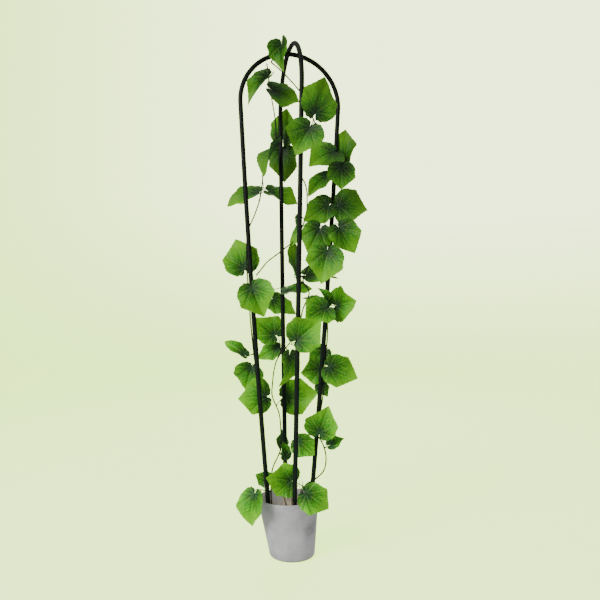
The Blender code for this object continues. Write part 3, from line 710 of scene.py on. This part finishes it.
# Six of the smallest leaves, which have no solid of their own in the frame.
SMALL_LEAVES = [
    ((25, 5, 790), (20, 5, 720), 45, -85, 0, 10), ((65, -20, 590), (25, -15, 595), 45, -15, 68, 15),
    ((80, -35, 585), (70, -30, 625), 36, 45, 0, 25), ((80, 30, 390), (100, 25, 360), 36, -15, 20, 10),
    ((-5, 25, 220), (-10, 25, 260), 34, 25, 0, 10), ((-45, 30, 165), (-75, 40, 180), 40, -15, 10, 15),
]


def smooth_step(value, low, high):
    """0 up to low, 1 past high, and a cubic with level ends between them."""
    share = np.clip((value - low) / (high - low), 0, 1)
    return share * share * (3 - 2 * share)


def leaf_outline(share, width):
    """Half width of a blade from the level of the petiole (0) to the tip (1): a round lobe, a shallow
    waist, an angular corner near the middle, a slightly hollow taper to the point, and teeth that lean to
    the tip, as a saw wave."""
    half = width * np.interp(share, [0, 0.08, 0.18, 0.32, 0.42, 0.48, 0.54, 0.72, 0.88, 0.96, 1],
                             [0.37, 0.44, 0.475, 0.462, 0.482, 0.485, 0.44, 0.255, 0.115, 0.04, 0.004])
    tooth = (share * TEETH + 0.3) % 1 - 0.5
    return half + TOOTH_DEPTH * width * tooth * smooth_step(half, 0.04 * width, 0.2 * width)


def leaf_plan(length, width, skew):
    """Places (x, y) of the flat blade on a grid from its left margin to its right and from its back lobes
    to its tip. The rows bend backwards on each side of the petiole, most at the bottom, into two lobes."""
    across = np.linspace(-1, 1, LEAF_COLUMNS)[None, :]
    across = np.sign(across) * np.abs(across) ** 1.1
    share = np.linspace(0, 1, LEAF_ROWS)[:, None]
    corner = np.clip(share + 1.4 * skew * np.sign(across) * np.sin(math.pi * share), 0, 1)
    half = leaf_outline(corner, width)
    lobe = np.interp(np.abs(across), [0, 0.04, 0.1, 0.2, 0.4, 0.68, 0.88, 1],
                     [0, 0.4, 0.8, 0.97, 1.0, 0.88, 0.6, 0.3])
    scallop = 1 + 0.06 * np.sin(across * 17)
    sweep = LOBE_SWEEP * length * (1 - share) ** 1.6 * lobe * scallop
    x = across * half * (1 + skew * np.sign(across)) + 0.03 * width * np.sin(2.6 * share) * skew * 8
    return x, length * share - sweep


def vein_distance(x, y):
    """Distance of a place on the blade from the nearest of the veins that fan out from the petiole."""
    gap = math.radians(VEIN_GAP_DEGREES)
    off_vein = np.abs((np.arctan2(x, y) + gap / 2) % gap - gap / 2)
    return np.hypot(x, y) * np.sin(off_vein)


def blade_height(x, y, shape):
    """Height of the pressed blade over its flat plan: a valley fold at the midrib, a droop that grows with
    the square of the way to the tip, a roll that grows with the square of the way to the side, ripples
    that grow with the square of the distance from the petiole, and a puffed face between the sunk veins."""
    length, width = shape["length"], shape["width"]
    away = np.hypot(x, y)
    angle = np.arctan2(x, y)
    fold = math.tan(math.radians(shape["fold"])) * (np.hypot(x, 0.03 * width) - 0.03 * width)
    droop = shape["droop"] * length * np.clip(y / length, 0, 1.1) ** 2
    roll = shape["roll"] * (np.abs(x) / width) ** 2 * width
    phase = shape["phase"]
    wave = shape["ripple"] * np.sin(shape["waves"] * angle + phase) + 0.035 * np.sin(11 * angle + 2 * phase)
    ripple = (away / width) ** 2 * width * wave
    puff = 0.013 * width * (1 - np.exp(-(vein_distance(x, y) / (0.045 * width)) ** 2))
    puff = puff * smooth_step(away, 0, 0.25 * width)
    return fold - droop - roll + ripple + puff


def leaf_frame(base, tip, bearing, elevation):
    """The blade's own directions: across it, along its midrib, and the way that its upper face looks."""
    midrib = unit(tip - base)
    turn, lift = math.radians(bearing), math.radians(elevation)
    facing = np.array([math.sin(turn) * math.cos(lift), -math.cos(turn) * math.cos(lift), math.sin(lift)])
    facing = unit(facing - midrib * facing.dot(midrib))
    return np.stack([np.cross(midrib, facing), midrib, facing])


def blade_arrays(axes, base, shape):
    """Places, faces, finish numbers and UVs of one closed blade: the upper face, the same net set back by
    the thickness of the fabric along its normals, and a strip that joins their margins."""
    x, y = leaf_plan(shape["length"], shape["width"], shape["skew"])
    top = np.stack([x, y, blade_height(x, y, shape)], axis=-1)
    normal = unit(np.cross(np.gradient(top, axis=1), np.gradient(top, axis=0)))
    back = top - normal * FABRIC_THICKNESS
    places = np.concatenate([top.reshape(-1, 3), back.reshape(-1, 3)]) @ axes + base
    index = place_numbers((LEAF_ROWS, LEAF_COLUMNS))
    face = net(index)
    margin = np.concatenate([index[0, :-1], index[:-1, -1], index[-1, :0:-1], index[:0:-1, 0]])
    after = np.roll(margin, -1)
    strip = np.stack([after, margin, margin + index.size, after + index.size], axis=-1)
    faces = np.concatenate([face, face[:, ::-1] + index.size, strip])
    finish = np.repeat([0, 1, 0], [len(face), len(face), len(strip)]).astype(np.int32)
    plan = np.stack([x, y], axis=-1).reshape(-1, 2)
    return places, faces, finish, np.concatenate([plan, plan])


def under_blade(axes, base, shape, x, y, depth):
    """Places on the back of the blade, a depth below it, for arrays of plan places."""
    return np.stack([x, y, blade_height(x, y, shape) - FABRIC_THICKNESS - depth], axis=-1) @ axes + base


def petiole_arrays(axes, base, shape, nearest):
    """Places and faces of the moulding on a leaf's back: the petiole from its collar on the stem, in a
    sagging curve to the blade and on under the midrib, and four ribs under the side veins."""
    midrib, facing = axes[1], axes[2]
    start = nearest + unit(base - nearest) * STEM_RADIUS * 0.4
    reach = np.linalg.norm(base - start)
    behind = base - midrib * reach * 0.2 - facing * 3 * MM
    share = np.array([0.06, 0.2, 0.36, 0.52, 0.68])
    spine = under_blade(axes, base, shape, 0 * share, share * shape["length"], 0.3 * MM)
    line = smooth_route(np.vstack([start, behind, spine]), 2.5 * MM)
    along = path_length(line)
    free = along[-1] - 0.62 * shape["length"]
    radius = np.interp(along, [0, 2.5 * MM, 4.5 * MM, 7 * MM, max(free, 8 * MM), along[-1]],
                       np.array([2.0, 1.8, 1.6, 1.0, 0.9, 0.3]) * MM)
    tubes = [capped_tube(line, radius, 8)]
    for turn in (-2, -1, 1, 2):
        angle = math.radians(VEIN_GAP_DEGREES * turn)
        away = np.linspace(0.03, 0.36 if abs(turn) == 1 else 0.3, RIB_STATIONS) * shape["width"]
        rib = under_blade(axes, base, shape, away * math.sin(angle), away * math.cos(angle), 0.15 * MM)
        tubes.append(capped_tube(rib, np.linspace(0.55, 0.2, RIB_STATIONS) * MM, 6))
    sizes = [tube.shape[0] * tube.shape[1] for tube in tubes]
    before = np.cumsum([0] + sizes)
    faces = [many_tube_faces(1, *tube.shape[:2]) + start for tube, start in zip(tubes, before)]
    return np.concatenate([tube.reshape(-1, 3) for tube in tubes]), np.concatenate(faces)


def printed_polyester(name, colours, roughness, relief):
    """Polyester taffeta, printed, stiffened and heat pressed. The print is dark and blue-green round the
    petiole and yellower to the margin, with pale feathered streaks that run outwards, and pale veins: main
    ones that fan out from the petiole, side veins 8 mm apart that leave them at 50 degrees, and a net of
    small ones. The weave's threads are drawn 0.8 mm apart, coarser than real. Each leaf has a random tone
    of its own, and over it a painted shade darkens the leaves the higher they stand on the vine."""
    material, node, shader, spots = start_material(name, Specular_IOR_Level=0.22)
    flat = spots["UV"]
    place = spots["Object"]
    plan = node("SeparateXYZ", {0: flat})
    away = node("VectorMath", {0: flat}, operation="LENGTH").outputs["Value"]
    angle = node("Math", {0: plan.outputs["X"], 1: plan.outputs["Y"]}, operation="ARCTAN2")

    off_vein = node("Math", {0: angle, 1: math.radians(VEIN_GAP_DEGREES / 2)}, operation="PINGPONG")
    off_sine = node("Math", {0: off_vein}, operation="SINE")
    off_cosine = node("Math", {0: off_vein}, operation="COSINE")
    beside = node("Math", {0: away, 1: off_sine}, operation="MULTIPLY")
    ahead = node("Math", {0: away, 1: off_cosine}, operation="MULTIPLY")
    vein_width = node("MapRange", {0: away, 1: 0.0, 2: 0.055, 3: 0.0015, 4: 0.0005})
    share_off = node("Math", {0: beside, 1: vein_width}, operation="DIVIDE", use_clamp=True)
    main = node("Math", {0: 1.0, 1: share_off}, operation="SUBTRACT")
    wander = node("TexNoise", {"Vector": flat, "Scale": 90.0, "Detail": 2.0})
    slanted = node("Math", {0: beside, 1: -0.84, 2: ahead}, operation="MULTIPLY_ADD")
    bent = node("Math", {0: wander, 1: 0.006, 2: slanted}, operation="MULTIPLY_ADD")
    to_side = node("Math", {0: bent, 1: 0.004}, operation="PINGPONG")
    side = node("MapRange", {0: to_side, 1: 0.0, 2: 0.0009, 3: 0.7, 4: 0.0})
    cells = node("TexVoronoi", {"Vector": flat, "Scale": 420.0}, feature="DISTANCE_TO_EDGE")
    small = node("MapRange", {0: cells, 1: 0.0, 2: 0.12, 3: 0.28, 4: 0.0})
    larger = node("Math", {0: main, 1: side}, operation="MAXIMUM")
    veins = node("Math", {0: larger, 1: small}, operation="MAXIMUM")

    cloud = node("TexNoise", {"Vector": place, "Scale": 45.0, "Detail": 3.0})
    shift = node("Math", {0: cloud, 1: 0.03, 2: -0.015}, operation="MULTIPLY_ADD")
    spread = node("Math", {0: away, 1: shift}, operation="ADD")
    print_share = node("MapRange", {0: spread, 1: 0.0, 2: 0.06, 3: 0.0, 4: 1.0})
    print_colour = node("ValToRGB", {"Fac": print_share},
                        stops=list(zip((0.05, 0.28, 0.52, 0.95), colours)))
    polar = node("CombineXYZ", {0: angle, 1: away})
    drawn_out = node("Mapping", {"Vector": polar, "Scale": (9.0, 45.0, 1.0)})
    feather = node("TexNoise", {"Vector": drawn_out, "Scale": 1.0, "Detail": 4.0, "Roughness": 0.65})
    streak = node("MapRange", {0: feather, 1: 0.48, 2: 0.64, 3: 0.0, 4: 0.8})
    outer = node("MapRange", {0: away, 1: 0.008, 2: 0.035, 3: 0.0, 4: 1.0})
    streak_share = node("Math", {0: streak, 1: outer}, operation="MULTIPLY")
    streaked = node("Mix", {0: streak_share, 6: print_colour, 7: linear(colours[3])}, data_type="RGBA")
    fade = node("MapRange", {0: away, 1: 0.004, 2: 0.03, 3: 0.12, 4: 0.65})
    vein_share = node("Math", {0: veins, 1: fade}, operation="MULTIPLY")
    veined = node("Mix", {0: vein_share, 6: streaked.outputs[2], 7: linear(colours[4])}, data_type="RGBA")

    # Painted shade: the colour is scaled darker up the vine, on top of each leaf's random tone.
    level = node("SeparateXYZ", {0: place}).outputs["Z"]
    leaf_shade = node("TexNoise", {"Vector": place, "Scale": 9.0, "Detail": 0.0})
    painted_shade_by_height = node("MapRange", {0: level, 1: 0.12, 2: 0.95, 3: 1.0, 4: 0.15})
    shade = node("Math", {0: leaf_shade, 1: 0.9, 2: painted_shade_by_height}, operation="MULTIPLY_ADD")
    shaded = node("VectorMath", {0: veined.outputs[2], "Scale": shade}, operation="SCALE")

    gloss = node("MapRange", {0: cloud, 1: 0.3, 2: 0.7, 3: roughness - 0.07, 4: roughness + 0.08})
    threads = node("TexWave", {"Vector": flat, "Scale": 393.0}, bands_direction="X")
    picks = node("TexWave", {"Vector": flat, "Scale": 393.0}, bands_direction="Y")
    weave = node("Math", {0: threads.outputs["Fac"], 1: picks.outputs["Fac"]}, operation="MULTIPLY")
    raised = node("Math", {0: veins, 1: relief}, operation="MULTIPLY")
    heights = node("Math", {0: weave, 1: 0.12, 2: raised}, operation="MULTIPLY_ADD")
    bump = node("Bump", {"Strength": 0.6, "Distance": 0.0008, "Height": heights})
    fill(shader, {"Base Color": shaded, "Roughness": gloss, "Normal": bump})
    return material


# Colours from the petiole to the margin, then the veins; roughness; and how far the veins stand out.
leaf_face = printed_polyester("polyester_taffeta_printed_face",
                              ("003426", "024400", "127a00", "6cba06", "9ccc50"), 0.42, -1.0)
leaf_back = printed_polyester("polyester_taffeta_printed_back",
                              ("0c4a2a", "145c0c", "1f7a08", "48981c", "7cb044"), 0.6, 0.6)
all_stems = np.concatenate(list(routes.values()))
for number, (base, tip, width, bearing, elevation, fold) in enumerate(LEAVES + SMALL_LEAVES, start=1):
    draw = np.random.default_rng(number)
    base, tip = np.array(base) * MM, np.array(tip) * MM
    axes = leaf_frame(base, tip, bearing, elevation)
    shape = {"length": np.linalg.norm(tip - base), "width": width * MM, "fold": fold + draw.uniform(2, 12),
             "droop": draw.uniform(0.01, 0.07), "roll": draw.uniform(0.1, 0.45),
             "ripple": draw.uniform(0.14, 0.3), "waves": draw.uniform(2.4, 4.2),
             "phase": draw.uniform(0, 2 * math.pi), "skew": draw.uniform(-0.05, 0.05)}
    places, faces, finish, plan = blade_arrays(axes, base, shape)
    blade = add_faces(f"leaf_{number:02d}_blade", places, faces, "planted_frame",
                      [leaf_face, leaf_back], uv=plan, material_index=finish)
    if number <= len(LEAVES):
        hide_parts(f"leaf_{number:02d}")
    nearest = all_stems[np.linalg.norm(all_stems - base, axis=1).argmin()]
    places, faces = petiole_arrays(axes, base, shape, nearest)
    add_faces(f"leaf_{number:02d}_petiole", places, faces, "planted_frame", [stem_finish])

# ----------------------------------------
# Studio. A pale floor that curves up into a round wall, soft lamps, and the camera.
# ----------------------------------------
FLOOR_FLAT = 3.2
FLOOR_CURVE = 2.0
WALL_TOP = 6.5
FLOOR_STEPS = (6, 24)
FLOOR_STEPS_ROUND = 96
FLOOR_GLOW = 4.4


def floor_points():
    """A flat disc, a quarter circle up at its edge and a wall above it, turned about the axis."""
    flat = run((0, 0), (FLOOR_FLAT, 0), FLOOR_STEPS[0])
    curve = arc((FLOOR_FLAT, FLOOR_CURVE), FLOOR_CURVE, -90, 0, FLOOR_STEPS[1])
    profile = np.vstack([flat, curve, [(FLOOR_FLAT + FLOOR_CURVE, WALL_TOP)]])
    bearing = np.linspace(0, 2 * math.pi, FLOOR_STEPS_ROUND + 1)
    distance, height = (side[:, None] for side in profile.T)
    return np.stack(np.broadcast_arrays(distance * np.cos(bearing), distance * np.sin(bearing), height),
                    axis=-1)


def floor_with_painted_glow():
    """Matt emulsion, rolled on, neutral in the light it throws back on the object. To the camera alone it
    glows with painted light, a pale green that turns whiter up the wall and to the right."""
    material, node, shader, spots = start_material("studio_floor_painted_glow", Base_Color=linear("cacac8"),
                                                   Roughness=0.9, Specular_IOR_Level=0.1)
    place = node("SeparateXYZ", {0: spots["Object"]})
    right = node("MapRange", {0: place, 1: -2.6, 2: 1.2, 3: 0.0, 4: 1.0})
    up = node("MapRange", {0: place.outputs["Z"], 1: 0.1, 2: 1.8, 3: 0.15, 4: 1.0})
    whiter = node("Math", {0: right, 1: up}, operation="MULTIPLY")
    tint = node("ValToRGB", {"Fac": whiter}, stops=[(0.0, "a9d444"), (0.9, "dcf0a6")])
    # Painted light: the floor and wall glow only to the camera, whiter up the wall and to the right.
    seen = node("LightPath", {}).outputs["Is Camera Ray"]
    glow = node("Math", {0: seen, 1: FLOOR_GLOW}, operation="MULTIPLY")
    fill(shader, {"Emission Color": tint, "Emission Strength": glow})
    return material


points = floor_points()
faces = net(place_numbers(points.shape[:2]))[:, [0, 3, 2, 1]]
floor_mesh = bpy.data.meshes.new("studio_floor")
floor_mesh.from_pydata(points.reshape(-1, 3).tolist(), [], faces.tolist())
floor_mesh.shade_smooth()
floor_mesh.materials.append(floor_with_painted_glow())
add_object("studio_floor", floor_mesh)


def add_lamp(name, place, aim, size, power, colour):
    """A square soft lamp at a place, turned to look at its aim."""
    lamp = bpy.data.lights.new(name, "AREA")
    lamp.shape = "SQUARE"
    lamp.size = size
    lamp.energy = power
    lamp.color = linear(colour)[:3]
    holder = add_object(name, lamp)
    holder.location = place
    way = np.array(aim, dtype=float) - np.array(place, dtype=float)
    from_up = math.atan2(math.hypot(way[0], way[1]), -way[2])
    holder.rotation_euler = (from_up, 0, math.atan2(way[1], way[0]) - math.pi / 2)


add_lamp("key_lamp", (-2.5, -1.7, 2.0), (0, 0, 0.6), 1.4, 120, "fffefa")
add_lamp("fill_lamp", (2.3, -2.0, 1.0), (0, 0, 0.6), 1.6, 10, "fbffff")
add_lamp("back_lamp", (0.8, 2.6, 2.2), (0, 0, 0.7), 1.6, 34, "ffffff")
world = bpy.data.worlds.new("studio_air")
world.use_nodes = True
world.node_tree.nodes["Background"].inputs["Color"].default_value = linear("f8faf8")
world.node_tree.nodes["Background"].inputs["Strength"].default_value = 0.7
bpy.context.scene.world = world

camera_data = bpy.data.cameras.new("view_camera")
camera_data.lens = 36.1
camera_data.sensor_width = 36
camera = add_object("view_camera", camera_data)
camera.location = (-0.299, -1.386, 0.554)
camera.rotation_euler = (math.radians(91.58), 0, math.radians(-13.12))
bpy.context.scene.camera = camera
